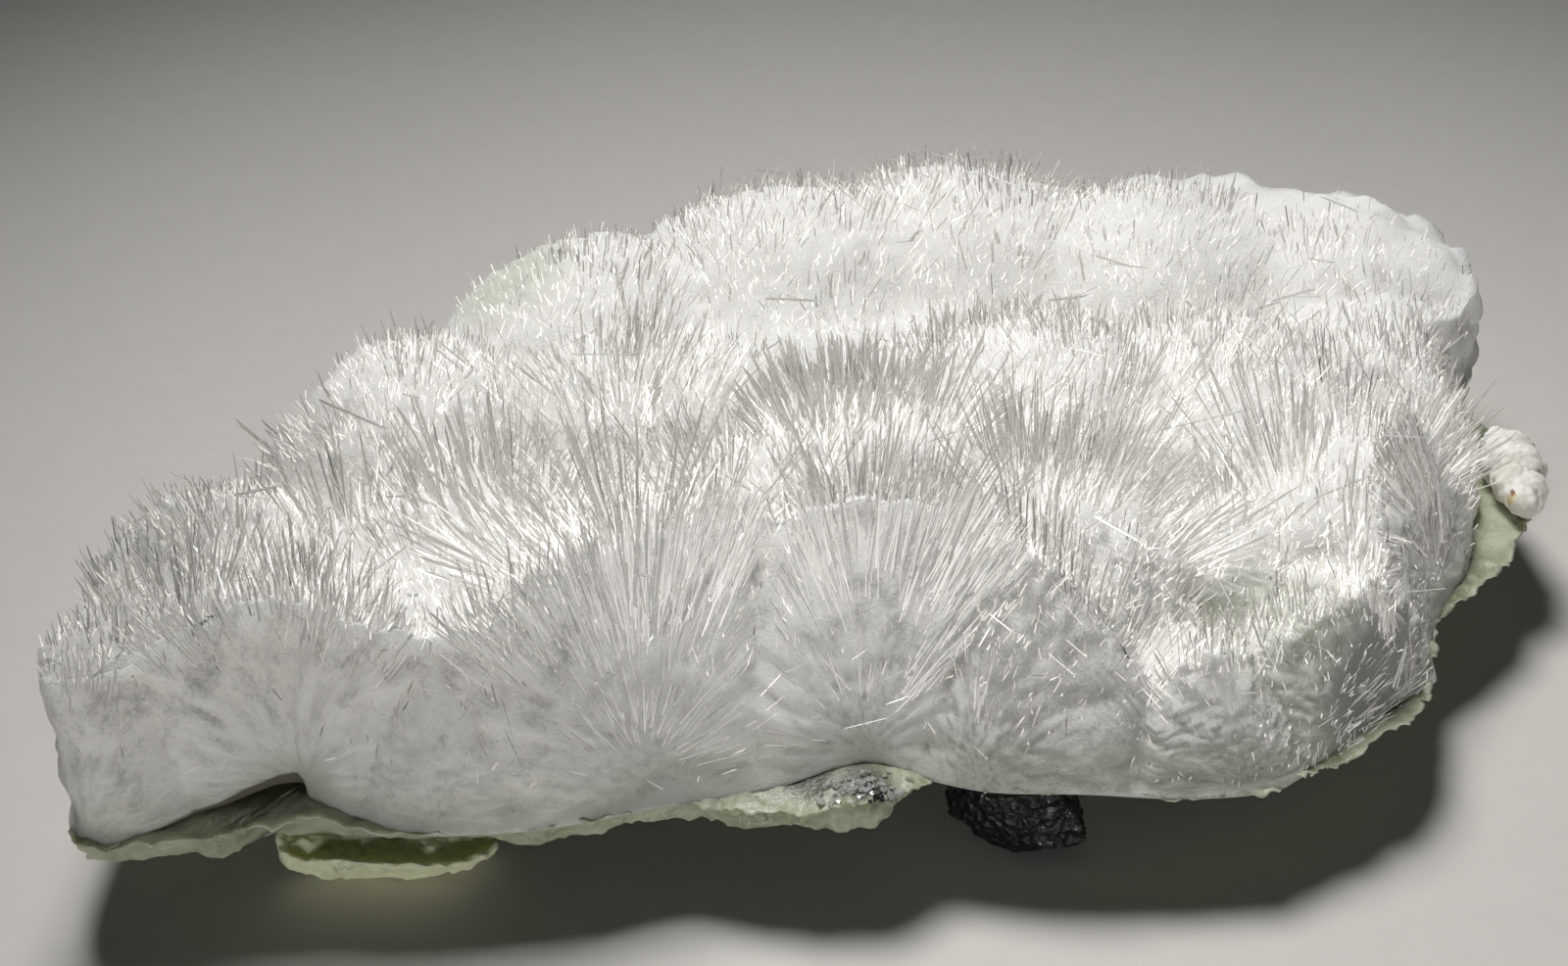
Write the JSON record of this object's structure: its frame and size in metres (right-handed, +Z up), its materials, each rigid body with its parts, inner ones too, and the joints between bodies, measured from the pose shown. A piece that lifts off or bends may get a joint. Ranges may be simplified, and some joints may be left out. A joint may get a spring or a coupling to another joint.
{
  "type": "artinite specimen",
  "caption": "Mineral specimen: a crust of white radiating artinite needle sprays, broken along the front, on a thin plate of pale green serpentine.",
  "frame": {"origin": "on the table, under the middle of the specimen's width and depth", "axes": "+X along the specimen's width, to its right in the picture, +Y to its back, +Z up"},
  "size_m": [0.0734, 0.0528, 0.0197],
  "materials": {
    "artinite": "silky translucent white needles, glassy at their tips",
    "serpentine": "pale green waxy rock",
    "magnetite": "black rock with small glossy facets",
    "white_crust": "chalky white with a yellow and red stain"
  },
  "bodies": {
    "root": {"artinite_crust": "artinite", "serpentine_plate": "serpentine", "serpentine_splinter": "serpentine", "magnetite_lump": "magnetite", "white_nodule": "white_crust"}
  },
  "joints": []
}
